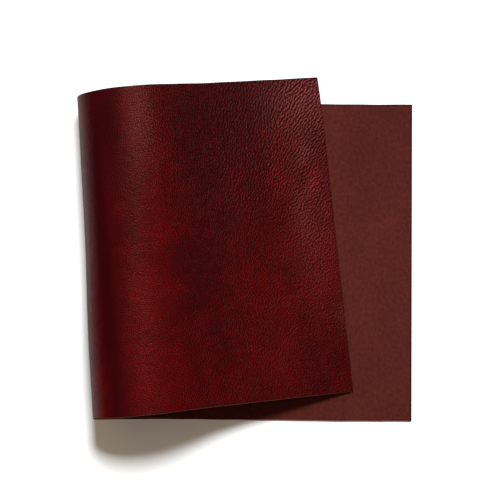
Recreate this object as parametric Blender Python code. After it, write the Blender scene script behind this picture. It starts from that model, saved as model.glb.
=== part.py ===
"""A leather panel: one rectangle of 2 mm leather, 12 by 24 inches, turned back over itself.

The bottom layer lies flat, flesh side up. The sheet then lifts, turns over in a loose loop and comes
down as a flap, grain side up, whose end rests on the bottom layer. The sheet only bends, and never
stretches, so it would lie out again as the rectangle that it was cut as.

X runs along the panel, Y across it and Z up. The origin is under the middle of the folded panel.
"""

import math

import bpy
import numpy as np

INCH = 0.0254
PANEL_LENGTH = 24 * INCH
PANEL_WIDTH = 12 * INCH
THICKNESS = 0.002

# The loop's axis leans from straight across, so the flap is turned by twice this.
FOLD_LEAN = math.radians(2.9)
# The sheet lies flat from its bottom end to here, measured square to the loop's axis.
FLAT_RUN = 0.273
# The flap's end comes down to this far above the bottom layer.
REST_GAP = 0.0005

# The loop, stretch by stretch from where the sheet lifts off: each stretch's length in metres, and
# the degrees that it turns at the near edge and at the far edge.
LOOP = (
    ("lift", 0.020, 33.4, 28.7),
    ("lower side", 0.020, 31.8, 31.3),
    ("side", 0.020, 29.4, 31.5),
    ("upper side", 0.020, 26.8, 28.8),
    ("shoulder", 0.024, 30.0, 31.1),
    ("crown", 0.032, 35.3, 36.5),
    ("slope", 0.044, 28.8, 28.9),
)
# Past the slope the flap sags over this length, by as much as it takes for its end to rest.
SAG_LENGTH = 0.060
# One stretch's bend runs into the next over this length.
BEND_BLEND = 0.025

# Low waves in the loop and the flap: height, length along the sheet, length across it, and phase.
WAVES = (
    (0.0007, 0.230, 0.410, 0.6),
    (0.0004, 0.130, -0.260, 2.1),
    (0.0003, 0.310, 0.150, 4.0),
)
# The waves grow from nothing to full height over this length of the sheet.
WAVE_RISE = 0.090

# Spacing of the mesh's rows along the bottom layer, round the loop and down the flap, and across.
FLAT_ROW = 0.030
LOOP_ROW = 0.005
FLAP_ROW = 0.011
COLUMN = 0.0155
# The section is added up in steps of this length.
STEP = 0.0005

GRAIN_RED = (0.070, 0.006, 0.008, 1.0)
FLESH_BROWN = (0.098, 0.020, 0.017, 1.0)


def section(turns, sag_turn):
    """Arc positions along the section, and its run along X, height and angle at each.

    Each stretch of the loop turns evenly. A moving average softens the steps from one bend to the
    next, and the direction and the place are running sums of it.
    """
    lengths = [stretch[1] for stretch in LOOP] + [SAG_LENGTH]
    counts = [round(length / STEP) for length in lengths]
    arc = np.arange(0.0, PANEL_LENGTH + PANEL_WIDTH, STEP)
    bend = np.zeros(len(arc))
    start = round(FLAT_RUN / STEP)
    bend[start:start + sum(counts)] = np.repeat(np.radians([*turns, sag_turn]) / lengths, counts)
    window = round(BEND_BLEND / STEP)
    bend = np.convolve(bend, np.ones(window) / window, "same")
    angle = np.cumsum(bend) * STEP
    run = STEP - np.cumsum(np.cos(angle)) * STEP
    height = THICKNESS / 2 + np.cumsum(np.sin(angle)) * STEP
    return arc, run, height, angle


def resting_section(turns, side):
    """The section at one edge, whose flap sags just far enough for its corner to rest.

    Side is -1 at the near edge and 1 at the far edge. The less the flap turns back in the sag, the
    lower its corner comes, so the turn is found by halving the range that holds it.
    """
    corner = PANEL_LENGTH * math.cos(FOLD_LEAN) - side * PANEL_WIDTH / 2 * math.sin(FOLD_LEAN)
    rest = 1.5 * THICKNESS + REST_GAP
    low, high = -60.0, 30.0
    for _ in range(40):
        sag_turn = (low + high) / 2
        arc, _, height, _ = section(turns, sag_turn)
        if np.interp(corner, arc, height) > rest:
            low = sag_turn
        else:
            high = sag_turn
    return section(turns, sag_turn)


def waves(along, across):
    """Low waves over the sheet, which fade out on the flat run and towards the resting end."""
    height = sum(
        wave * np.sin(2 * math.pi * (along / length + across / width) + phase)
        for wave, length, width, phase in WAVES
    )
    rise = np.clip((along - FLAT_RUN) / WAVE_RISE, 0, 1)
    fall = np.clip((PANEL_LENGTH - along) / WAVE_RISE, 0, 1)
    return height * rise**2 * (3 - 2 * rise) * fall**2 * (3 - 2 * fall)


def fold(along, across):
    """Takes points of the flat sheet to where they lie on the folded one.

    A point's distances square to the loop's axis and along it stay as they are on the flat sheet: the
    first is read as arc length on the section, the second is kept. Between the near and the far edge
    the two edges' sections are mixed in proportion.
    """
    lean_sin, lean_cos = math.sin(FOLD_LEAN), math.cos(FOLD_LEAN)
    square = along * lean_cos - across * lean_sin
    kept = along * lean_sin + across * lean_cos
    far_share = across / PANEL_WIDTH + 0.5
    edges = (
        (1 - far_share, resting_section([stretch[2] for stretch in LOOP], -1)),
        (far_share, resting_section([stretch[3] for stretch in LOOP], 1)),
    )
    run, height, angle = np.zeros((3, *along.shape))
    for share, (arc, arc_run, arc_height, arc_angle) in edges:
        run += share * np.where(square < 0, -square, np.interp(square, arc, arc_run))
        height += share * np.interp(square, arc, arc_height)
        angle += share * np.interp(square, arc, arc_angle)
    lift = waves(along, across)
    run -= lift * np.sin(angle)
    height -= lift * np.cos(angle)
    x = lean_cos * run - lean_sin * kept
    y = lean_sin * run + lean_cos * kept
    return np.stack([x, y, height], axis=-1)


def rows_along():
    """Where the mesh's rows cross the flat sheet, from the bottom end to the flap's end."""
    flat_end = FLAT_RUN - BEND_BLEND
    loop_end = FLAT_RUN + sum(stretch[1] for stretch in LOOP) + SAG_LENGTH
    spans = (
        (0.0, flat_end, FLAT_ROW),
        (flat_end, loop_end, LOOP_ROW),
        (loop_end, PANEL_LENGTH, FLAP_ROW),
    )
    rows = [
        np.linspace(start, end, round((end - start) / spacing), endpoint=False)
        for start, end, spacing in spans
    ]
    return np.append(np.concatenate(rows), PANEL_LENGTH)


def leather(name, colour, roughness):
    """A plain leather of one colour."""
    material = bpy.data.materials.new(name)
    material.use_nodes = True
    shader = material.node_tree.nodes["Principled BSDF"]
    shader.inputs["Base Color"].default_value = colour
    shader.inputs["Roughness"].default_value = roughness
    shader.inputs["Metallic"].default_value = 0.0
    return material


def leather_panel():
    """The folded sheet: its middle surface as a grid, given its thickness by a Solidify."""
    rows = rows_along()
    columns = np.linspace(-PANEL_WIDTH / 2, PANEL_WIDTH / 2, round(PANEL_WIDTH / COLUMN) + 1)
    along, across = np.meshgrid(rows, columns, indexing="ij")
    points = fold(along, across).reshape(-1, 3)
    number = np.arange(len(points)).reshape(along.shape)
    quads = np.stack([number[:-1, :-1], number[:-1, 1:], number[1:, 1:], number[1:, :-1]], axis=-1)

    mesh = bpy.data.meshes.new("leather_panel")
    mesh.from_pydata(points.tolist(), [], quads.reshape(-1, 4).tolist())
    mesh.shade_smooth()
    mesh.materials.append(leather("grain side", GRAIN_RED, 0.42))
    mesh.materials.append(leather("flesh side", FLESH_BROWN, 0.85))
    panel = bpy.data.objects.new("leather_panel", mesh)
    bpy.context.scene.collection.objects.link(panel)

    wall = panel.modifiers.new("Thickness", "SOLIDIFY")
    wall.thickness = THICKNESS
    wall.offset = 0.0
    wall.use_even_offset = True
    wall.material_offset = 1
    wall.material_offset_rim = 1
    return panel


def centre(panel):
    """Moves the sheet in its mesh, so that the origin lies under the middle of its solid's box."""
    bpy.context.view_layer.update()
    solid = panel.evaluated_get(bpy.context.evaluated_depsgraph_get()).to_mesh()
    points = np.array([vertex.co for vertex in solid.vertices])
    low, high = points.min(axis=0), points.max(axis=0)
    middle = (low + high) / 2
    for vertex in panel.data.vertices:
        vertex.co.x -= middle[0]
        vertex.co.y -= middle[1]
        vertex.co.z -= low[2]


def main():
    for thing in list(bpy.data.objects):
        bpy.data.objects.remove(thing, do_unlink=True)
    centre(leather_panel())


main()
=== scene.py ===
"""The looks of a leather panel that lies turned back over itself.

One rectangle of leather, flesh side up in the bottom layer and grain side up in the flap. It is a
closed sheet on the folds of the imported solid, with slanted cut edges, a pebbled grain whose rows are
straightest towards one corner, and a matt flesh side. A pale floor, a softbox and a camera go with it.

Lengths are metres. "Along" runs along the flat panel from its bottom end, and "across" runs across
it from its middle line, so both are places on the leather as it was cut.
"""

import math

import bpy
import numpy as np
from bpy.props import FloatProperty, FloatVectorProperty, PointerProperty
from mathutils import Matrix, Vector


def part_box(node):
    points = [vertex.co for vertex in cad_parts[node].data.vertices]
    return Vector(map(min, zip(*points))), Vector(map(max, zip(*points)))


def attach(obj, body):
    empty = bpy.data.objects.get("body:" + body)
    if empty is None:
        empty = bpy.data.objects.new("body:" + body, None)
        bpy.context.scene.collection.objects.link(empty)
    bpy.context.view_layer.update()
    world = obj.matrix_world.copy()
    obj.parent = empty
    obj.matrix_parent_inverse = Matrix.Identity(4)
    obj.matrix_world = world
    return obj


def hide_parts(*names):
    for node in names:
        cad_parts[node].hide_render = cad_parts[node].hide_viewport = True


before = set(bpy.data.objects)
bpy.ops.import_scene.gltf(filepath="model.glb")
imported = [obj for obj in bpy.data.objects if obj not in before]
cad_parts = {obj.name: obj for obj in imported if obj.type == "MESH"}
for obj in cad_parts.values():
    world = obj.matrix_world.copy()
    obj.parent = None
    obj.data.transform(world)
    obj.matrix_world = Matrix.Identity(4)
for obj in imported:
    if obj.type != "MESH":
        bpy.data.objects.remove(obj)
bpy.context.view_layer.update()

bl_info = {
    "name": "Leather Panel",
    "version": (1, 0, 0),
    "blender": (4, 5, 0),
    "location": "View3D > Sidebar > Leather Panel",
    "description": "Builds a folded leather panel with its grain, flesh side and cut edges",
    "category": "Add Mesh",
}

NODE = "leather_panel"
INCH = 0.0254

# The folds, as in the solid

PANEL_LENGTH = 24 * INCH
PANEL_WIDTH = 12 * INCH
THICKNESS = 0.002
# The loop's axis leans from straight across, so the flap is turned by twice this.
FOLD_LEAN = math.radians(2.9)
# The sheet lies flat from its bottom end to here, measured square to the loop's axis.
FLAT_RUN = 0.273
# The flap's end comes down to this far above the bottom layer.
REST_GAP = 0.0005
# The loop, stretch by stretch: its length, and the degrees it turns at the near and the far edge.
LOOP = (
    ("lift", 0.020, 33.4, 28.7),
    ("lower side", 0.020, 31.8, 31.3),
    ("side", 0.020, 29.4, 31.5),
    ("upper side", 0.020, 26.8, 28.8),
    ("shoulder", 0.024, 30.0, 31.1),
    ("crown", 0.032, 35.3, 36.5),
    ("slope", 0.044, 28.8, 28.9),
)
# Past the slope the flap sags over this length, by as much as it takes for its end to rest.
SAG_LENGTH = 0.060
# The sag's turn in degrees is between these two, and is found by halving that range this often.
SAG_TURNS = (-60.0, 30.0)
HALVINGS = 40
# One stretch's bend runs into the next over this length.
BEND_BLEND = 0.025
# The section is added up in steps of this length.
STEP = 0.0005
# Low waves: height, length along the sheet, length across it, and phase.
WAVES = (
    (0.0007, 0.230, 0.410, 0.6),
    (0.0004, 0.130, -0.260, 2.1),
    (0.0003, 0.310, 0.150, 4.0),
)
# The waves grow from nothing to full height over this length of the sheet.
WAVE_RISE = 0.090
# The far edge of the flap stands out past the bottom layer, and droops there by this much. The droop
# starts this far across the sheet. Along the sheet it has a start, and a length to come in over.
DROOP = 0.0023
DROOP_ACROSS = 0.112
DROOP_ALONG = (0.500, 0.080)

# The cut edges

# Quarter circles along the cuts have this many rings.
ROUND_RINGS = 4
# The knife's path strays in waves: length over two pi, phase, and share of the whole.
KNIFE_WAVES = (
    (0.0061, 1.0, 0.3),
    (0.0173, 0.0, 0.5),
    (0.0460, 0.0, 0.6),
)
# In those waves a length across the sheet counts for this many along it.
KNIFE_ACROSS = 1.7
# The stray fades over this distance in from an edge.
KNIFE_REACH = 0.004
# The far and the bottom cut are dark, and their points lie within this distance of the edge.
DARK_CUT_REACH = 0.003
# The slots of the sheet's three materials
GRAIN_SIDE, FLESH_SIDE, CUT_EDGE = 0, 1, 2

# Soft areas, given one by one: name, along, across, half length, half width, turn in degrees, strength

# The strength of a hump or a dip is its height in metres.
HUMPS = (
    ("corner hump", 0.574, 0.086, 0.034, 0.030, 0, 0.00160),
    ("small hump", 0.584, 0.068, 0.007, 0.008, 0, 0.00110),
    ("dimple", 0.582, 0.049, 0.007, 0.008, 0, -0.00110),
    ("dimple bank", 0.593, 0.044, 0.006, 0.014, -10, 0.00070),
    ("ridge", 0.580, 0.018, 0.007, 0.030, 6, 0.00050),
    ("crown dip", 0.430, 0.020, 0.020, 0.060, 8, -0.00035),
    ("crown swell", 0.415, -0.080, 0.018, 0.050, -6, 0.00035),
)
# Darker patches of dye, and painted shade in the rows marked so.
DARK_AREAS = (
    ("near end", 0.590, -0.112, 0.026, 0.040, 10, 0.42),
    ("far end", 0.600, 0.090, 0.012, 0.022, 0, 0.50),
    ("middle", 0.466, -0.024, 0.016, 0.034, 8, 0.60),
    ("slope top", 0.478, 0.120, 0.020, 0.045, 0, 0.25),
    ("past the slope", 0.528, 0.128, 0.024, 0.036, 0, 0.65),
    # Painted shade: the shoulder's row darkens the colour beside the crown's highlight, and the loop
    # side's row lays a dark band along the loop's side, which turns from the light.
    ("shoulder", 0.397, 0.120, 0.012, 0.050, 0, 0.90),
    ("loop side", 0.374, 0.000, 0.015, 0.300, 0, 1.00),
    ("slope", 0.480, 0.060, 0.035, 0.090, 0, 0.20),
    ("crown spot", 0.408, 0.054, 0.010, 0.012, 0, 0.45),
    # Painted shade in the dimple's hollow.
    ("dimple", 0.582, 0.054, 0.004, 0.009, 0, 0.60),
)
RED_AREAS = (
    ("by the dimple", 0.556, 0.066, 0.010, 0.022, 0, 0.70),
    ("past the dimple", 0.594, 0.053, 0.006, 0.011, 0, 0.85),
    ("slope", 0.448, 0.060, 0.016, 0.055, 4, 0.35),
    ("foot", 0.420, -0.130, 0.090, 0.035, 0, 0.28),
    # Painted highlight: the crown's two rows lighten the colour where the crown's gloss shows.
    ("crown", 0.414, -0.030, 0.020, 0.050, 0, 0.35),
    ("crown foot", 0.404, -0.110, 0.016, 0.060, 0, 0.40),
    ("far corner", 0.585, 0.125, 0.040, 0.050, 0, 0.35),
    ("near corner", 0.530, -0.120, 0.040, 0.024, 15, 0.40),
    ("flap middle", 0.530, -0.062, 0.028, 0.048, 10, 0.50),
    ("flap end", 0.590, -0.030, 0.030, 0.070, 0, 0.50),
)
# Painted highlight: glints on the pebbles' tops at the far corner, the crown, the small hump, the ridge
# and the flap's end.
PAINTED_GLINT_AREAS = (
    ("far corner", 0.594, 0.136, 0.036, 0.040, 0, 0.52),
    ("crown", 0.427, 0.120, 0.010, 0.040, 0, 0.18),
    ("small hump", 0.586, 0.079, 0.008, 0.009, 0, 0.25),
    ("flap end", 0.590, 0.020, 0.024, 0.080, 0, 0.22),
    ("ridge", 0.578, 0.018, 0.007, 0.020, 8, 0.15),
    ("end by the near corner", 0.612, -0.080, 0.009, 0.014, 0, 0.30),
)
SCARS = (
    ("small scar", 0.424, -0.069, 0.0026, 0.0016, 30, 0.80),
    ("faint scar", 0.475, -0.080, 0.0030, 0.0018, -20, 0.60),
)

# How the grain changes over the sheet

# A change has the place where it starts and the length that it takes.
SLOPE_CHANGE = (0.425, 0.040)
END_CHANGE = (0.525, 0.055)
FAR_SIDE_CHANGE = (-0.020, 0.140)
# The end's change starts later towards the far side, by this much for each length across.
END_SLANT = 0.10
# Each value of the grain on the loop, and what is added to it on the slope, at the flap's end, on the
# slope's far side and at the end's far side. Lean is the rows' direction in degrees, relief scales the
# pebbles' height, order is how far the rows keep to one direction, large is the share of large pebbles,
# creases is how dark the painted shade in the creases is, and rough is the roughness.
GRAIN_VALUES = {
    "lean": (-34.0, 50.0, 30.0, 0.0, 0.0),
    "relief": (0.30, 0.18, 0.16, 0.45, -0.25),
    "order": (0.35, 0.20, 0.0, 0.25, 0.0),
    "large": (0.20, 0.10, 0.20, 0.0, 0.0),
    "creases": (0.85, 0.30, -0.20, 0.65, -0.65),
    "rough": (0.38, 0.05, -0.03, 0.0, 0.0),
}
# Past this change the pebbles at the far side are all large.
LARGE_CHANGE = (0.480, 0.050)
# The grain is pulled smooth round the loop's hidden side, between these two changes, by this share.
PULL_START = (0.300, 0.035)
PULL_END = (0.360, 0.040)
PULL = 0.8
# Changes of the roughness round the loop, by distance square to its axis: start, length, what it adds
ROUGH_CHANGES = (
    (0.340, 0.018, -0.26),
    (0.370, 0.014, 0.22),
    (0.398, 0.020, -0.08),
)
# Towards its far bottom corner the flesh side is darker by this share, over these two changes.
CORNER_DARKENING = 0.35
CORNER_DARKENING_ACROSS = (0.0, 0.150)
CORNER_DARKENING_ALONG = (0.040, 0.060)

# The grain's two waves: length in pitches, and how many waves one spot of the noise holds

ROW_WAVE = (1.0, 1.4)
CROSS_WAVE = (1.25, 1.2)
# The noise between these two values is spread over a pebble's whole height.
WAVE_RANGE = (0.36, 0.62)
# How deep the waves square to the rows cut into them
CROSS_DEPTH = 0.35

# Scales of the plain noises, per metre

FRAY_SCALE = 90.0
PORE_SCALE = 1500.0
WRINKLE_SCALE = 130.0
UNEVEN_SCALE = 350.0
MOTTLE_SCALE = 38.0
NAP_MOTTLE_SCALE = 330.0
NAP_CLOUD_SCALE = 30.0


class SheetSizes(bpy.types.PropertyGroup):
    """Sizes of the sheet's mesh and of its cut edges."""

    cell: FloatProperty(
        name="Cell", description="Spacing of the mesh's rows and columns",
        default=0.0022, min=0.001, max=0.02, unit="LENGTH",
    )
    border: FloatProperty(
        name="Border", description="Width of the narrow cells inside each cut edge",
        default=0.0016, min=0.0005, max=0.01, unit="LENGTH",
    )
    grain_round: FloatProperty(
        name="Grain edge", description="Radius of the edge on the grain side",
        default=0.00045, min=0.0, max=0.001, unit="LENGTH",
    )
    flesh_round: FloatProperty(
        name="Flesh edge", description="Radius of the edge on the flesh side",
        default=0.00025, min=0.0, max=0.001, unit="LENGTH",
    )
    dark_slant: FloatProperty(
        name="Dark slant", description="How far the far and bottom cuts slant out under the flesh side",
        default=0.0012, min=0.0, max=0.003, unit="LENGTH",
    )
    pale_slant: FloatProperty(
        name="Pale slant", description="How far the near cut slants out under the grain side",
        default=0.0007, min=0.0, max=0.003, unit="LENGTH",
    )
    cut_wander: FloatProperty(
        name="Cut wander", description="How far the knife strays from the straight line",
        default=0.00025, min=0.0, max=0.002, unit="LENGTH",
    )


class LeatherLook(bpy.types.PropertyGroup):
    """Colours and relief of the leather."""

    red: FloatVectorProperty(
        name="Red", description="The grain's colour where it is brightest",
        subtype="COLOR", size=4, default=(0.090, 0.0017, 0.0013, 1.0), min=0.0, max=1.0,
    )
    bright: FloatVectorProperty(
        name="Bright", description="The grain's colour where the dye is thinnest",
        subtype="COLOR", size=4, default=(0.110, 0.0030, 0.0030, 1.0), min=0.0, max=1.0,
    )
    # Deep is also the colour that the painted shade on the loop's side and shoulder passes through.
    deep: FloatVectorProperty(
        name="Deep", description="The grain's colour where the dye has gathered",
        subtype="COLOR", size=4, default=(0.036, 0.0010, 0.0019, 1.0), min=0.0, max=1.0,
    )
    # Painted shade: the colour put in the creases between the pebbles and on the loop's side and
    # shoulder, and also the darkest dye of the dark areas.
    crease: FloatVectorProperty(
        name="Crease", description="The colour down between the pebbles",
        subtype="COLOR", size=4, default=(0.011, 0.0006, 0.0013, 1.0), min=0.0, max=1.0,
    )
    # Painted highlight: the pink colour of the glints put on the pebbles' tops.
    painted_glint: FloatVectorProperty(
        name="Rubbed", description="The colour of the pebbles' tops where the corner has been rubbed",
        subtype="COLOR", size=4, default=(0.135, 0.062, 0.062, 1.0), min=0.0, max=1.0,
    )
    scar: FloatVectorProperty(
        name="Scar", description="The colour of small healed scars",
        subtype="COLOR", size=4, default=(0.014, 0.0035, 0.0028, 1.0), min=0.0, max=1.0,
    )
    flesh: FloatVectorProperty(
        name="Flesh", description="The colour of the flesh side",
        subtype="COLOR", size=4, default=(0.062, 0.0118, 0.0098, 1.0), min=0.0, max=1.0,
    )
    flesh_dark: FloatVectorProperty(
        name="Flesh dark", description="The darker colour in the flesh side's mottling",
        subtype="COLOR", size=4, default=(0.035, 0.0066, 0.0056, 1.0), min=0.0, max=1.0,
    )
    cut_dark: FloatVectorProperty(
        name="Dark cut", description="The colour of the far and bottom cuts",
        subtype="COLOR", size=4, default=(0.010, 0.0014, 0.0030, 1.0), min=0.0, max=1.0,
    )
    cut_pale: FloatVectorProperty(
        name="Pale cut", description="The colour of the near and end cuts, paler at the core",
        subtype="COLOR", size=4, default=(0.190, 0.065, 0.042, 1.0), min=0.0, max=1.0,
    )
    dark_edge: FloatProperty(
        name="Dark edge", description="Width of the dyed line along the far edge of the grain",
        default=0.0014, min=0.0, max=0.01, unit="LENGTH",
    )
    small_pitch: FloatProperty(
        name="Small pitch", description="Distance between the rows of the small pebbles",
        default=0.0022, min=0.0005, max=0.01, unit="LENGTH",
    )
    large_pitch: FloatProperty(
        name="Large pitch", description="Distance between the rows of the large pebbles",
        default=0.0028, min=0.0005, max=0.01, unit="LENGTH",
    )
    pebble_height: FloatProperty(
        name="Pebble height", description="Height of the pebbles above the creases",
        default=0.00045, min=0.0, max=0.001, unit="LENGTH",
    )
    wrinkle_height: FloatProperty(
        name="Wrinkle height", description="Height of the low wrinkles under the pebbles",
        default=0.0004, min=0.0, max=0.001, unit="LENGTH",
    )
    pore_depth: FloatProperty(
        name="Pore depth", description="Depth of the fine pores",
        default=0.00003, min=0.0, max=0.001, unit="LENGTH",
    )
    nap_height: FloatProperty(
        name="Nap height", description="Height of the flesh side's nap",
        default=0.00012, min=0.0, max=0.001, unit="LENGTH",
    )
    nap_size: FloatProperty(
        name="Nap size", description="Width of the flesh side's fibres",
        default=0.0007, min=0.0001, max=0.01, unit="LENGTH",
    )
    cut_fibre_height: FloatProperty(
        name="Cut fibre height", description="Height of the fibres on the cut edges",
        default=0.0001, min=0.0, max=0.001, unit="LENGTH",
    )
    cut_fibre_size: FloatProperty(
        name="Cut fibre size", description="Width of the fibres on the cut edges",
        default=0.0004, min=0.0001, max=0.01, unit="LENGTH",
    )


class StageSettings(bpy.types.PropertyGroup):
    """Floor, lights and camera."""

    floor_side: FloatProperty(
        name="Floor side", description="Side of the square floor",
        default=6.0, min=1.0, max=50.0, unit="LENGTH",
    )
    floor_drop: FloatProperty(
        name="Floor drop", description="How far the floor lies under the panel",
        default=0.0002, min=0.0, max=0.01, unit="LENGTH",
    )
    floor_colour: FloatVectorProperty(
        name="Floor colour", description="The floor's colour",
        subtype="COLOR", size=4, default=(0.64, 0.70, 0.76, 1.0), min=0.0, max=1.0,
    )
    softbox_place: FloatVectorProperty(
        name="Softbox place", description="Where the softbox hangs",
        subtype="XYZ", unit="LENGTH", size=3, default=(0.100, 0.790, 1.615),
    )
    softbox_size: FloatVectorProperty(
        name="Softbox size", description="Width and height of the softbox",
        unit="LENGTH", size=2, default=(0.40, 0.36), min=0.01, max=5.0,
    )
    softbox_colour: FloatVectorProperty(
        name="Softbox colour", description="Colour of the softbox's light",
        subtype="COLOR", size=3, default=(1.0, 0.96, 0.91), min=0.0, max=1.0,
    )
    softbox_power: FloatProperty(
        name="Softbox power", description="Power of the softbox in watts",
        default=60.0, min=0.0, unit="POWER",
    )
    fill_colour: FloatVectorProperty(
        name="Fill colour", description="Colour of the light that comes from all round",
        subtype="COLOR", size=4, default=(1.0, 0.735, 0.53, 1.0), min=0.0, max=1.0,
    )
    fill_light: FloatProperty(
        name="Fill light", description="Strength of the light from all round", default=0.45, min=0.0,
    )
    fill_gloss: FloatProperty(
        name="Fill gloss", description="Strength of what glossy surfaces mirror from all round",
        default=0.03, min=0.0,
    )
    camera_place: FloatVectorProperty(
        name="Camera place", description="Where the camera hangs",
        subtype="XYZ", unit="LENGTH", size=3, default=(0.0662, -0.0687, 1.8532),
    )
    camera_turn: FloatVectorProperty(
        name="Camera turn", description="The camera's turn from looking straight down",
        subtype="EULER", unit="ROTATION", size=3,
        default=(math.radians(2.0406), math.radians(1.8876), math.radians(0.3120)),
    )
    camera_lens: FloatProperty(
        name="Camera lens", description="Focal length in millimetres on a 36 mm sensor",
        default=137.90, min=1.0, unit="CAMERA",
    )


def section(turns, sag_turn):
    """Arc positions along the fold's section, and its run, height and angle at each.

    Each stretch of the loop turns evenly. A moving average softens the steps from one bend to the
    next, and the direction and the place are running sums of it.
    """
    lengths = [stretch[1] for stretch in LOOP] + [SAG_LENGTH]
    counts = [round(length / STEP) for length in lengths]
    arc = np.arange(0.0, PANEL_LENGTH + PANEL_WIDTH, STEP)
    bend = np.zeros(len(arc))
    start = round(FLAT_RUN / STEP)
    bend[start:start + sum(counts)] = np.repeat(np.radians([*turns, sag_turn]) / lengths, counts)
    window = round(BEND_BLEND / STEP)
    bend = np.convolve(bend, np.ones(window) / window, "same")
    angle = np.cumsum(bend) * STEP
    run = STEP - np.cumsum(np.cos(angle)) * STEP
    height = THICKNESS / 2 + np.cumsum(np.sin(angle)) * STEP
    return arc, run, height, angle


def resting_section(turns, side):
    """The section at the near edge, side -1, or the far edge, side 1, with its flap's corner resting.

    The less the flap turns back in the sag, the lower its corner comes, so the turn is found by
    halving the range that holds it.
    """
    corner = PANEL_LENGTH * math.cos(FOLD_LEAN) - side * PANEL_WIDTH / 2 * math.sin(FOLD_LEAN)
    rest = 1.5 * THICKNESS + REST_GAP
    low, high = SAG_TURNS
    for _ in range(HALVINGS):
        sag_turn = (low + high) / 2
        arc, _, height, _ = section(turns, sag_turn)
        if np.interp(corner, arc, height) > rest:
            low = sag_turn
        else:
            high = sag_turn
    return section(turns, sag_turn)


def smooth(share):
    """A smooth step: 0 up to 0, 1 from 1, and 3s squared less 2s cubed between."""
    share = np.clip(share, 0, 1)
    return share**2 * (3 - 2 * share)


def step_over(place, change):
    """A smooth step over the places, from the change's start on and over its length."""
    start, length = change
    return smooth((place - start) / length)


def waves(along, across):
    """Low waves, as sines over the sheet that fade out on the flat run and at the resting end."""
    height = sum(
        wave * np.sin(2 * math.pi * (along / length + across / width) + phase)
        for wave, length, width, phase in WAVES
    )
    rise = smooth((along - FLAT_RUN) / WAVE_RISE)
    fall = smooth((PANEL_LENGTH - along) / WAVE_RISE)
    return height * rise * fall


def soft_areas(table, along, across):
    """The sum of the table's soft areas: each is its strength times a bell curve in two directions."""
    total = np.zeros_like(along)
    for _, middle_along, middle_across, half_length, half_width, degrees, strength in table:
        turn = math.radians(degrees)
        dx = along - middle_along
        dy = across - middle_across
        u = (dx * math.cos(turn) + dy * math.sin(turn)) / half_length
        v = (dy * math.cos(turn) - dx * math.sin(turn)) / half_width
        total += strength * np.exp(-(u**2 + v**2))
    return total


def corner_droop(along, across):
    """How far the flap droops at its far edge: the square of the way there, times a smooth step along."""
    way = np.clip((across - DROOP_ACROSS) / (PANEL_WIDTH / 2 - DROOP_ACROSS), 0, None)
    return DROOP * way**2 * step_over(along, DROOP_ALONG)


def fold(along, across, out):
    """Takes points of the flat sheet, which lie out from its middle by a distance, to the folded one.

    A point's distance square to the loop's axis is read as arc length on the section, and the one
    along the axis is kept. The near and the far edge's sections are mixed in proportion across the
    sheet. The distance out, towards the grain side, is laid off square to the section.
    """
    lean_sin, lean_cos = math.sin(FOLD_LEAN), math.cos(FOLD_LEAN)
    square = along * lean_cos - across * lean_sin
    kept = along * lean_sin + across * lean_cos
    far_share = across / PANEL_WIDTH + 0.5
    edges = (
        (1 - far_share, resting_section([stretch[2] for stretch in LOOP], -1)),
        (far_share, resting_section([stretch[3] for stretch in LOOP], 1)),
    )
    run, height, angle = np.zeros((3, *along.shape))
    for share, (arc, arc_run, arc_height, arc_angle) in edges:
        run += share * np.where(square < 0, -square, np.interp(square, arc, arc_run))
        height += share * np.interp(square, arc, arc_height)
        angle += share * np.interp(square, arc, arc_angle)
    lift = waves(along, across) + soft_areas(HUMPS, along, across) - corner_droop(along, across) + out
    run -= lift * np.sin(angle)
    height -= lift * np.cos(angle)
    x = lean_cos * run - lean_sin * kept
    y = lean_sin * run + lean_cos * kept
    return np.stack([x, y, height], axis=-1)


def inset_plan(s, t, inset):
    """Places on the flat panel for shares s along and t across, drawn in from each side.

    Inset is the distances in from the bottom end, the flap's end, the near side and the far side, and
    the place is the share times the length that they leave.
    """
    bottom, end, near, far = inset
    along = bottom + s * (PANEL_LENGTH - bottom - end)
    across = -PANEL_WIDTH / 2 + near + t * (PANEL_WIDTH - near - far)
    return along, across


def cut_profile(sizes):
    """The cut edge's profile from the grain side to the flesh side, as (insets, distance out) pairs.

    Two quarter circles round it off, and between them it is a straight slant. On the bottom end and
    the far side the grain side reaches further out, on the near side the flesh side does, and the
    flap's end is cut square.
    """
    turn = np.linspace(0.0, math.pi / 2, ROUND_RINGS)
    half = THICKNESS / 2
    grain, flesh = sizes.grain_round, sizes.flesh_round
    outs = [[half], half - grain * (1 - np.cos(turn)), -half + flesh * (1 - np.sin(turn)), [-half]]
    draws = [[sizes.border], grain * (1 - np.sin(turn)), flesh * (1 - np.cos(turn)), [sizes.border]]
    profile = []
    for out, drawn in zip(np.concatenate(outs), np.concatenate(draws)):
        low_share = (half - out) / THICKNESS
        dark = drawn + sizes.dark_slant * low_share
        pale = drawn + sizes.pale_slant * (1 - low_share)
        profile.append(((dark, drawn, pale, dark), out))
    return profile


def wander(along, across, size):
    """How far the knife strays: three sines along each side, times how near the place is to an edge."""
    edge = np.minimum(PANEL_WIDTH / 2 - np.abs(across), np.minimum(along, PANEL_LENGTH - along))
    near = np.exp(-np.clip(edge, 0, None) / KNIFE_REACH)
    path = along + KNIFE_ACROSS * across
    stray = sum(share * np.sin(path / length + phase) for length, phase, share in KNIFE_WAVES)
    return size * near * stray


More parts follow.
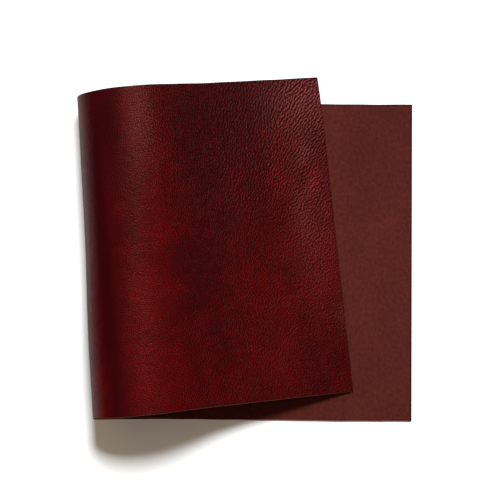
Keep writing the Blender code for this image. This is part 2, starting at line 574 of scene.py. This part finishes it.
def closed_sheet(sizes):
    """Plan places, distances out, quads and material slots of the whole closed sheet.

    Both faces are grids over the shares s and t. The cut edge is the grids' border carried along the
    cut profile, ring by ring, so its first ring is the grain grid's border and its last the flesh one's.
    """
    rows = round(PANEL_LENGTH / sizes.cell)
    columns = round(PANEL_WIDTH / sizes.cell)
    s, t = np.meshgrid(np.linspace(0, 1, rows + 1), np.linspace(0, 1, columns + 1), indexing="ij")
    number = np.arange(s.size).reshape(s.shape)
    border = np.concatenate([number[0, :-1], number[:-1, -1], number[-1, :0:-1], number[:0:-1, 0]])
    profile = cut_profile(sizes)
    between = len(profile) - 2
    whole = (s.ravel(), t.ravel())
    around = (s.ravel()[border], t.ravel()[border])
    shares = [whole] + [around] * between + [whole]
    places = [inset_plan(*share, inset) for share, (inset, _) in zip(shares, profile)]
    along = np.concatenate([place[0] for place in places])
    across = np.concatenate([place[1] for place in places])
    outs = [np.full(len(place[0]), level) for place, (_, level) in zip(places, profile)]
    out = np.concatenate(outs)

    quads = np.stack([number[:-1, :-1], number[1:, :-1], number[1:, 1:], number[:-1, 1:]], axis=-1)
    quads = quads.reshape(-1, 4)
    flesh_start = s.size + len(border) * between
    rings = [border]
    rings += [s.size + len(border) * step + np.arange(len(border)) for step in range(between)]
    rings += [flesh_start + border]
    walls = [
        np.stack([upper, np.roll(upper, -1), np.roll(lower, -1), lower], axis=-1)
        for upper, lower in zip(rings[:-1], rings[1:])
    ]
    faces = np.concatenate([quads, flesh_start + quads[:, ::-1], *walls])
    slots = np.full(len(faces), CUT_EDGE)
    # The flat strip inside each edge belongs to its own face of the leather.
    slots[:len(quads)] = GRAIN_SIDE
    slots[2 * len(quads):2 * len(quads) + len(border)] = GRAIN_SIDE
    slots[len(quads):2 * len(quads)] = FLESH_SIDE
    slots[-len(border):] = FLESH_SIDE
    return along, across, out, faces, slots


def box_middle(points):
    """The middle of the points' box in X and Y."""
    return (points.min(axis=0) + points.max(axis=0))[:2] / 2


def sheet_points(along, across, out, sizes):
    """The folded sheet's points, moved so that the plain fold's box has the solid's middle.

    The plain fold is both faces of the uncut sheet, over many rows and three columns.
    """
    s, t = np.meshgrid(np.linspace(0, 1, 1200), np.linspace(0, 1, 3), indexing="ij")
    plan = inset_plan(s, t, (0, 0, 0, 0))
    faces = [fold(*plan, side * THICKNESS / 2).reshape(-1, 3) for side in (-1, 1)]
    low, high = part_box(NODE)
    solid_middle = (np.array(low[:2]) + np.array(high[:2])) / 2
    stray = wander(along, across, sizes.cut_wander)
    points = fold(along, across + stray * np.sign(across), out)
    points[:, :2] += solid_middle - box_middle(np.concatenate(faces))
    return points


def put_attribute(mesh, name, values):
    """Stores one number for each point of the mesh."""
    layer = mesh.attributes.new(name, "FLOAT", "POINT")
    layer.data.foreach_set("value", values.astype(np.float32))


def put_uv(mesh, name, u, v):
    """Stores a UV map whose coordinates are given for each point."""
    corner = np.empty(len(mesh.loops), dtype=np.int32)
    mesh.loops.foreach_get("vertex_index", corner)
    layer = mesh.uv_layers.new(name=name)
    places = np.stack([u[corner], v[corner]], axis=-1)
    layer.uv.foreach_set("vector", places.astype(np.float32).ravel())


def node(tree, kind, **settings):
    """A new node with its settings."""
    made = tree.nodes.new(kind)
    for name, value in settings.items():
        setattr(made, name, value)
    return made


def plug(tree, value, socket):
    """Links another node's output to a socket, or sets the socket to a plain value."""
    if isinstance(value, bpy.types.NodeSocket):
        tree.links.new(value, socket)
    else:
        socket.default_value = value


def maths(tree, operation, *values, clamp=False):
    """The output of a Math node."""
    made = node(tree, "ShaderNodeMath", operation=operation, use_clamp=clamp)
    for value, socket in zip(values, made.inputs):
        plug(tree, value, socket)
    return made.outputs[0]


def remap(tree, value, low, high, to_low=0.0, to_high=1.0):
    """A smooth step from to_low, where the value is low, up to to_high, where it is high."""
    made = node(tree, "ShaderNodeMapRange", interpolation_type="SMOOTHSTEP")
    names = ("Value", "From Min", "From Max", "To Min", "To Max")
    for given, name in zip((value, low, high, to_low, to_high), names):
        plug(tree, given, made.inputs[name])
    return made.outputs["Result"]


def mix_colour(tree, share, first, second):
    """The colour between two colours by a share from 0 to 1."""
    made = node(tree, "ShaderNodeMix", data_type="RGBA")
    # A Mix node has sockets for each data type, and those for colours are 6 and 7, with output 2.
    for value, index in ((share, 0), (first, 6), (second, 7)):
        plug(tree, value, made.inputs[index])
    return made.outputs[2]


def mix_value(tree, share, first, second):
    """The number between two numbers by a share from 0 to 1."""
    made = node(tree, "ShaderNodeMix", data_type="FLOAT")
    for value, index in ((share, 0), (first, 2), (second, 3)):
        plug(tree, value, made.inputs[index])
    return made.outputs[0]


def attribute(tree, name):
    """The mesh's attribute of that name, as a number."""
    return node(tree, "ShaderNodeAttribute", attribute_name=name).outputs["Fac"]


def noise(tree, vector, scale, detail=2.0, roughness=0.5):
    """A Noise node's output, from about 0.2 to 0.8."""
    made = node(tree, "ShaderNodeTexNoise")
    names = ("Vector", "Scale", "Detail", "Roughness")
    for value, name in zip((vector, scale, detail, roughness), names):
        plug(tree, value, made.inputs[name])
    return made.outputs["Fac"]


def stretched(tree, vector, scale, degrees=0.0):
    """The vector turned about Z and then scaled in each direction."""
    turned = node(tree, "ShaderNodeVectorRotate", rotation_type="Z_AXIS")
    plug(tree, vector, turned.inputs["Vector"])
    turned.inputs["Angle"].default_value = math.radians(degrees)
    scaled = node(tree, "ShaderNodeVectorMath", operation="MULTIPLY")
    plug(tree, turned.outputs[0], scaled.inputs[0])
    scaled.inputs[1].default_value = scale
    return scaled.outputs[0]


def new_group(name, inputs, outputs):
    """A node group with named inputs and outputs, and its input and output nodes."""
    tree = bpy.data.node_groups.new(name, "ShaderNodeTree")
    for direction, sockets in (("INPUT", inputs), ("OUTPUT", outputs)):
        for label, kind, default in sockets:
            socket = tree.interface.new_socket(name=label, in_out=direction, socket_type=kind)
            if default is not None:
                socket.default_value = default
    return tree, node(tree, "NodeGroupInput").outputs, node(tree, "NodeGroupOutput").inputs


def pebble_group():
    """Pebbles in rows: Gabor noise whose waves lean by Lean, times weaker waves square to them.

    The rows are a Pitch apart, and Order is how far they keep to one direction, from 0 to 1. The
    height is the first waves' times one less a share of how low the second waves are.
    """
    tree, given, result = new_group(
        "pebbled grain",
        (
            ("Vector", "NodeSocketVector", None),
            ("Pitch", "NodeSocketFloat", 0.0028),
            ("Lean", "NodeSocketFloat", 0.0),
            ("Order", "NodeSocketFloat", 0.5),
        ),
        (("Height", "NodeSocketFloat", None),),
    )
    along_rows = maths(tree, "MULTIPLY", given["Lean"], -1.0)
    across_rows = maths(tree, "ADD", along_rows, math.pi / 2)
    heights = []
    for direction, (stretch, waves_in_spot) in ((along_rows, ROW_WAVE), (across_rows, CROSS_WAVE)):
        ripple = node(tree, "ShaderNodeTexGabor", gabor_type="2D")
        spot = maths(tree, "MULTIPLY", given["Pitch"], stretch * waves_in_spot)
        plug(tree, given["Vector"], ripple.inputs["Vector"])
        plug(tree, maths(tree, "DIVIDE", 1.0, spot), ripple.inputs["Scale"])
        plug(tree, waves_in_spot, ripple.inputs["Frequency"])
        plug(tree, given["Order"], ripple.inputs["Anisotropy"])
        plug(tree, direction, ripple.inputs["Orientation"])
        heights.append(remap(tree, ripple.outputs["Value"], *WAVE_RANGE))
    broken = maths(tree, "MULTIPLY_ADD", heights[1], CROSS_DEPTH, 1.0 - CROSS_DEPTH)
    plug(tree, maths(tree, "MULTIPLY", heights[0], broken), result["Height"])
    return tree


def fibre_group():
    """Short fibres: fine noise drawn out in two directions, the larger of the two."""
    tree, given, result = new_group(
        "fibres",
        (("Vector", "NodeSocketVector", None), ("Size", "NodeSocketFloat", 0.0006)),
        (("Height", "NodeSocketFloat", None),),
    )
    counted = node(tree, "ShaderNodeVectorMath", operation="DIVIDE")
    size = node(tree, "ShaderNodeCombineXYZ")
    for axis in "XYZ":
        plug(tree, given["Size"], size.inputs[axis])
    plug(tree, given["Vector"], counted.inputs[0])
    plug(tree, size.outputs[0], counted.inputs[1])
    first = noise(tree, stretched(tree, counted.outputs[0], (1.0, 0.22, 1.0), 25), 1.0, 3.0, 0.6)
    second = noise(tree, stretched(tree, counted.outputs[0], (1.0, 0.22, 1.0), -50), 1.0, 3.0, 0.6)
    plug(tree, maths(tree, "MAXIMUM", first, second), result["Height"])
    return tree


def use_group(tree, group, **values):
    """A node that uses the group, with its inputs by name, and its outputs."""
    made = node(tree, "ShaderNodeGroup", node_tree=group)
    for name, value in values.items():
        plug(tree, value, made.inputs[name])
    return made.outputs


def new_material(name):
    """A material with its node tree and shader."""
    material = bpy.data.materials.new(name)
    material.use_nodes = True
    tree = material.node_tree
    return material, tree, tree.nodes["Principled BSDF"]


def bump(tree, height, distance, normal=None):
    """A Bump node's normal. Distance is the relief in metres for a height from 0 to 1."""
    made = node(tree, "ShaderNodeBump")
    plug(tree, height, made.inputs["Height"])
    plug(tree, distance, made.inputs["Distance"])
    plug(tree, 1.0, made.inputs["Strength"])
    if normal is not None:
        plug(tree, normal, made.inputs["Normal"])
    return made.outputs["Normal"]


def flat_place(tree):
    """The place on the flat sheet in metres, from the sheet's own UV map."""
    return node(tree, "ShaderNodeUVMap", uv_map="Sheet").outputs["UV"]


def grain_height(tree, look, place):
    """The pebbles' height from 0 to 1: small ones and large ones, mixed by the sheet's large value.

    Noise frays the mix, and makes the rows lean a little more in some places than in others.
    """
    fray = maths(tree, "MULTIPLY_ADD", noise(tree, place, FRAY_SCALE), 1.6, -0.8)
    lean = maths(tree, "ADD", attribute(tree, "lean"), maths(tree, "MULTIPLY", fray, 0.4))
    order = attribute(tree, "order")
    group = pebble_group()
    small, large = (
        use_group(tree, group, Vector=place, Pitch=pitch, Lean=lean, Order=order)["Height"]
        for pitch in (look.small_pitch, look.large_pitch)
    )
    share = remap(tree, maths(tree, "ADD", attribute(tree, "large"), fray), 0.2, 0.8)
    return mix_value(tree, share, small, large)


def dye_and_shade_colour(tree, look, place, uneven):
    """Mottled dye from deep to red, thin in the reddest areas, and darker in the dark areas, some of
    which are painted shade.
    """
    dark = attribute(tree, "dark")
    red = attribute(tree, "red")
    mottle = maths(tree, "MULTIPLY_ADD", noise(tree, place, MOTTLE_SCALE, 4.0, 0.65), 2.2, -0.72)
    # The red areas lighten the tone, the crown's two as a painted highlight, and the dark areas darken
    # it, those of the loop's side, the shoulder and the dimple as painted shade.
    tone = maths(tree, "SUBTRACT", maths(tree, "ADD", mottle, red), dark, clamp=True)
    colour = mix_colour(tree, tone, tuple(look.deep), tuple(look.red))
    # The darkest areas go on towards the crease colour: painted shade on the loop's side, the shoulder
    # and the dimple, and the darkest dye in the middle and past the slope.
    dark_dye_and_shade = remap(tree, dark, 0.5, 1.0, 0.0, 0.7)
    colour = mix_colour(tree, dark_dye_and_shade, colour, tuple(look.crease))
    thin = remap(tree, red, 0.4, 1.0, 0.0, 0.8)
    colour = mix_colour(tree, thin, colour, tuple(look.bright))
    return mix_colour(tree, maths(tree, "MULTIPLY", uneven, 0.3), colour, tuple(look.deep))


def shade_glint_and_scar_colour(tree, look, colour, height, low):
    """The colour with painted shade in the creases, painted glints on the pebbles' tops, and the scars.
    """
    # Painted shade down in the creases, as dark as the creases value says.
    creased = maths(tree, "MULTIPLY", low, attribute(tree, "creases"), clamp=True)
    colour = mix_colour(tree, creased, colour, tuple(look.crease))
    # Painted highlight: glints on the pebbles' tops.
    tops = maths(tree, "POWER", height, 2.0)
    painted_glint = maths(tree, "MULTIPLY", tops, attribute(tree, "painted_glint"))
    colour = mix_colour(tree, painted_glint, colour, tuple(look.painted_glint))
    return mix_colour(tree, attribute(tree, "scar"), colour, tuple(look.scar))


def far_edge_line(tree, look, place):
    """The dyed line along the far edge: 0 up to its inner side, and 1 from its middle outwards."""
    split = node(tree, "ShaderNodeSeparateXYZ")
    plug(tree, place, split.inputs[0])
    inner, middle = PANEL_WIDTH - look.dark_edge, PANEL_WIDTH - look.dark_edge / 2
    return remap(tree, split.outputs["Y"], inner, middle)


def grain_leather(look):
    """The grain side: burgundy leather whose rows of pebbles turn from the loop to the flap's end."""
    material, tree, shader = new_material("grain side")
    place = flat_place(tree)
    height = grain_height(tree, look, place)
    low = maths(tree, "SUBTRACT", 1.0, height)
    pores = noise(tree, place, PORE_SCALE, 2.0, 0.6)
    wrinkles = noise(tree, place, WRINKLE_SCALE, 3.0, 0.55)
    uneven = noise(tree, place, UNEVEN_SCALE, 2.0, 0.6)

    line = far_edge_line(tree, look, place)
    colour = dye_and_shade_colour(tree, look, place, uneven)
    colour = shade_glint_and_scar_colour(tree, look, colour, height, low)
    plug(tree, mix_colour(tree, line, colour, tuple(look.cut_dark)), shader.inputs["Base Color"])

    # The creases and the wrinkles' tops are a little rougher.
    rough = maths(tree, "MULTIPLY_ADD", low, 0.08, attribute(tree, "rough"))
    rough = maths(tree, "MULTIPLY_ADD", wrinkles, 0.12, rough)
    plug(tree, rough, shader.inputs["Roughness"])
    shader.inputs["Specular IOR Level"].default_value = 0.050
    shader.inputs["Specular Tint"].default_value = (1.0, 0.50, 0.44, 1.0)

    # The pebbles differ in height, and none stands up in the dyed line.
    relief = maths(tree, "MULTIPLY", attribute(tree, "relief"), maths(tree, "SUBTRACT", 1.0, line))
    raised = maths(tree, "MULTIPLY", maths(tree, "MULTIPLY_ADD", uneven, 0.6, 0.6), height)
    raised = maths(tree, "MULTIPLY", raised, relief)
    wrinkled = bump(tree, wrinkles, look.wrinkle_height)
    pebbled = bump(tree, raised, look.pebble_height, normal=wrinkled)
    plug(tree, bump(tree, pores, look.pore_depth, normal=pebbled), shader.inputs["Normal"])
    return material


def flesh_leather(look, fibres):
    """The flesh side: matt, short-napped and faintly mottled."""
    material, tree, shader = new_material("flesh side")
    place = flat_place(tree)
    nap = use_group(tree, fibres, Vector=place, Size=look.nap_size)["Height"]
    mottle = noise(tree, stretched(tree, place, (1.0, 0.7, 1.0)), NAP_MOTTLE_SCALE, 3.0, 0.8)
    cloud = noise(tree, place, NAP_CLOUD_SCALE, 3.0)
    share = maths(tree, "MULTIPLY_ADD", mottle, 2.6, -0.8)
    share = maths(tree, "ADD", share, maths(tree, "MULTIPLY_ADD", cloud, 1.0, -0.5))
    share = maths(tree, "SUBTRACT", share, attribute(tree, "corner_darkening"), clamp=True)
    colour = mix_colour(tree, share, tuple(look.flesh_dark), tuple(look.flesh))
    colour = mix_colour(tree, remap(tree, nap, 0.45, 0.75, 0.0, 0.35), colour, tuple(look.flesh_dark))
    plug(tree, colour, shader.inputs["Base Color"])
    plug(tree, maths(tree, "MULTIPLY_ADD", nap, 0.10, 0.82), shader.inputs["Roughness"])
    shader.inputs["Specular IOR Level"].default_value = 0.05
    plug(tree, bump(tree, nap, look.nap_height), shader.inputs["Normal"])
    return material


def cut_leather(look, fibres):
    """The cut edge: fibres in layers, dark with dye on two sides and paler at the core on the others."""
    material, tree, shader = new_material("cut edge")
    place = node(tree, "ShaderNodeTexCoord").outputs["Object"]
    fibre = use_group(tree, fibres, Vector=place, Size=look.cut_fibre_size)["Height"]
    core = remap(tree, attribute(tree, "depth"), 0.9, 0.2)
    pale = mix_colour(tree, core, tuple(look.cut_dark), tuple(look.cut_pale))
    pale = mix_colour(tree, remap(tree, fibre, 0.4, 0.8, 0.0, 0.6), pale, tuple(look.flesh))
    tops = remap(tree, fibre, 0.4, 0.8, 0.0, 0.15)
    dark = mix_colour(tree, tops, tuple(look.cut_dark), tuple(look.deep))
    plug(tree, mix_colour(tree, attribute(tree, "dark_cut"), pale, dark), shader.inputs["Base Color"])
    plug(tree, maths(tree, "MULTIPLY_ADD", fibre, 0.1, 0.85), shader.inputs["Roughness"])
    shader.inputs["Specular IOR Level"].default_value = 0.02
    plug(tree, bump(tree, fibre, look.cut_fibre_height), shader.inputs["Normal"])
    return material


def grain_values(along, across):
    """The grain's values over the sheet, by name.

    Each is its value on the loop, plus two smooth steps along the sheet, for the slope and for the
    flap's end, times what is added there. Part of that grows with a third step towards the far side.
    """
    slope = step_over(along, SLOPE_CHANGE)
    end = step_over(along - END_SLANT * across, END_CHANGE)
    far_side = step_over(across, FAR_SIDE_CHANGE)
    values = {
        name: on_loop + (on_slope + far_slope * far_side) * slope + (at_end + far_end * far_side) * end
        for name, (on_loop, on_slope, at_end, far_slope, far_end) in GRAIN_VALUES.items()
    }
    values["lean"] = np.radians(values["lean"])
    values["large"] += far_side * step_over(along, LARGE_CHANGE)
    pulled = step_over(along, PULL_START) * (1 - step_over(along, PULL_END))
    values["relief"] *= 1 - PULL * pulled
    values["creases"] *= 1 - PULL * pulled
    square = along * math.cos(FOLD_LEAN) - across * math.sin(FOLD_LEAN)
    for start, length, added in ROUGH_CHANGES:
        values["rough"] += added * step_over(square, (start, length))
    return values


def store_areas(mesh, along, across, out):
    """Stores what the materials read at each point, all worked out on the flat sheet."""
    for name, values in grain_values(along, across).items():
        put_attribute(mesh, name, values)
    tables = (("dark", DARK_AREAS), ("red", RED_AREAS), ("painted_glint", PAINTED_GLINT_AREAS), ("scar", SCARS))
    for name, table in tables:
        put_attribute(mesh, name, np.clip(soft_areas(table, along, across), 0, 1))
    corner_darkening = step_over(across, CORNER_DARKENING_ACROSS) * (1 - step_over(along, CORNER_DARKENING_ALONG))
    put_attribute(mesh, "corner_darkening", CORNER_DARKENING * corner_darkening)
    put_attribute(mesh, "depth", out / (THICKNESS / 2))
    is_dark = (across > PANEL_WIDTH / 2 - DARK_CUT_REACH) | (along < DARK_CUT_REACH)
    put_attribute(mesh, "dark_cut", is_dark.astype(float))


class SheetOperator(bpy.types.Operator):
    """Builds the folded sheet with its grain side, flesh side and cut edges"""

    bl_idname = "leather_panel.build_sheet"
    bl_label = "Build the leather sheet"

    def execute(self, context):
        sizes = context.scene.leather_sheet
        look = context.scene.leather_look
        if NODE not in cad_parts:
            raise RuntimeError("The frame has no node for the leather panel")
        along, across, out, faces, slots = closed_sheet(sizes)
        points = sheet_points(along, across, out, sizes)
        mesh = bpy.data.meshes.new("leather_sheet")
        mesh.from_pydata(points, [], faces)
        mesh.polygons.foreach_set("material_index", slots.astype(np.int32))
        mesh.shade_smooth()
        put_uv(mesh, "Sheet", along, across + PANEL_WIDTH / 2)
        store_areas(mesh, along, across, out)
        fibres = fibre_group()
        mesh.materials.append(grain_leather(look))
        mesh.materials.append(flesh_leather(look, fibres))
        mesh.materials.append(cut_leather(look, fibres))
        sheet = bpy.data.objects.new("leather_sheet", mesh)
        context.scene.collection.objects.link(sheet)
        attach(sheet, "root")
        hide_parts(NODE)
        return {"FINISHED"}


class StageOperator(bpy.types.Operator):
    """Builds the pale floor, the softbox, the fill light and the camera"""

    bl_idname = "leather_panel.build_stage"
    bl_label = "Build the stage"

    def execute(self, context):
        stage = context.scene.leather_stage
        self.floor(context, stage)
        self.softbox(context, stage)
        self.fill(context, stage)
        self.camera(context, stage)
        context.scene.view_settings.view_transform = "Standard"
        return {"FINISHED"}

    def floor(self, context, stage):
        """A flat square just under the panel."""
        corners = np.array([(-1, -1), (1, -1), (1, 1), (-1, 1)]) * stage.floor_side / 2
        points = np.column_stack([corners, np.full(4, -stage.floor_drop)])
        mesh = bpy.data.meshes.new("floor")
        mesh.from_pydata(points, [], [(0, 1, 2, 3)])
        material, _, shader = new_material("floor")
        shader.inputs["Base Color"].default_value = stage.floor_colour
        shader.inputs["Roughness"].default_value = 0.9
        shader.inputs["Specular IOR Level"].default_value = 0.1
        mesh.materials.append(material)
        floor = bpy.data.objects.new("floor", mesh)
        context.scene.collection.objects.link(floor)

    def softbox(self, context, stage):
        """A flat light that faces the panel."""
        light = bpy.data.lights.new("softbox", "AREA")
        light.shape = "RECTANGLE"
        light.size, light.size_y = stage.softbox_size
        light.energy = stage.softbox_power
        light.color = stage.softbox_colour
        softbox = bpy.data.objects.new("softbox", light)
        softbox.location = stage.softbox_place
        softbox.rotation_euler = (-Vector(stage.softbox_place)).to_track_quat("-Z", "Y").to_euler()
        context.scene.collection.objects.link(softbox)

    def fill(self, context, stage):
        """Dim warm light from all round, in a dark room as far as gloss shows it."""
        world = bpy.data.worlds.new("fill")
        world.use_nodes = True
        tree = world.node_tree
        mirrored = node(tree, "ShaderNodeLightPath").outputs["Is Glossy Ray"]
        strength = mix_value(tree, mirrored, stage.fill_light, stage.fill_gloss)
        background = tree.nodes["Background"]
        background.inputs["Color"].default_value = stage.fill_colour
        plug(tree, strength, background.inputs["Strength"])
        context.scene.world = world

    def camera(self, context, stage):
        """A long lens, almost straight above the panel."""
        lens = bpy.data.cameras.new("camera")
        lens.sensor_width = 36.0
        lens.lens = stage.camera_lens
        camera = bpy.data.objects.new("camera", lens)
        camera.location = stage.camera_place
        camera.rotation_euler = stage.camera_turn
        context.scene.collection.objects.link(camera)
        context.scene.camera = camera


class SidebarPanel(bpy.types.Panel):
    """Lists the panel's operators and their settings"""

    bl_idname = "LEATHER_PT_sidebar"
    bl_label = "Leather Panel"
    bl_space_type = "VIEW_3D"
    bl_region_type = "UI"
    bl_category = "Leather Panel"

    def draw(self, context):
        scene = context.scene
        for operator, settings in (
            (SheetOperator, (scene.leather_sheet, scene.leather_look)),
            (StageOperator, (scene.leather_stage,)),
        ):
            box = self.layout.box()
            box.operator(operator.bl_idname)
            for group in settings:
                for name in group.__annotations__:
                    box.prop(group, name)


CLASSES = (SheetSizes, LeatherLook, StageSettings, SheetOperator, StageOperator, SidebarPanel)
SETTINGS = (
    ("leather_sheet", SheetSizes),
    ("leather_look", LeatherLook),
    ("leather_stage", StageSettings),
)


def register():
    """Registers the classes, and gives each scene their settings."""
    for one in CLASSES:
        bpy.utils.register_class(one)
    for name, group in SETTINGS:
        setattr(bpy.types.Scene, name, PointerProperty(type=group))


def unregister():
    """Takes the settings and the classes away again."""
    for name, _ in SETTINGS:
        delattr(bpy.types.Scene, name)
    for one in reversed(CLASSES):
        bpy.utils.unregister_class(one)


def main():
    """Builds the stage and the sheet."""
    register()
    bpy.ops.leather_panel.build_stage()
    bpy.ops.leather_panel.build_sheet()


if __name__ == "__main__":
    main()
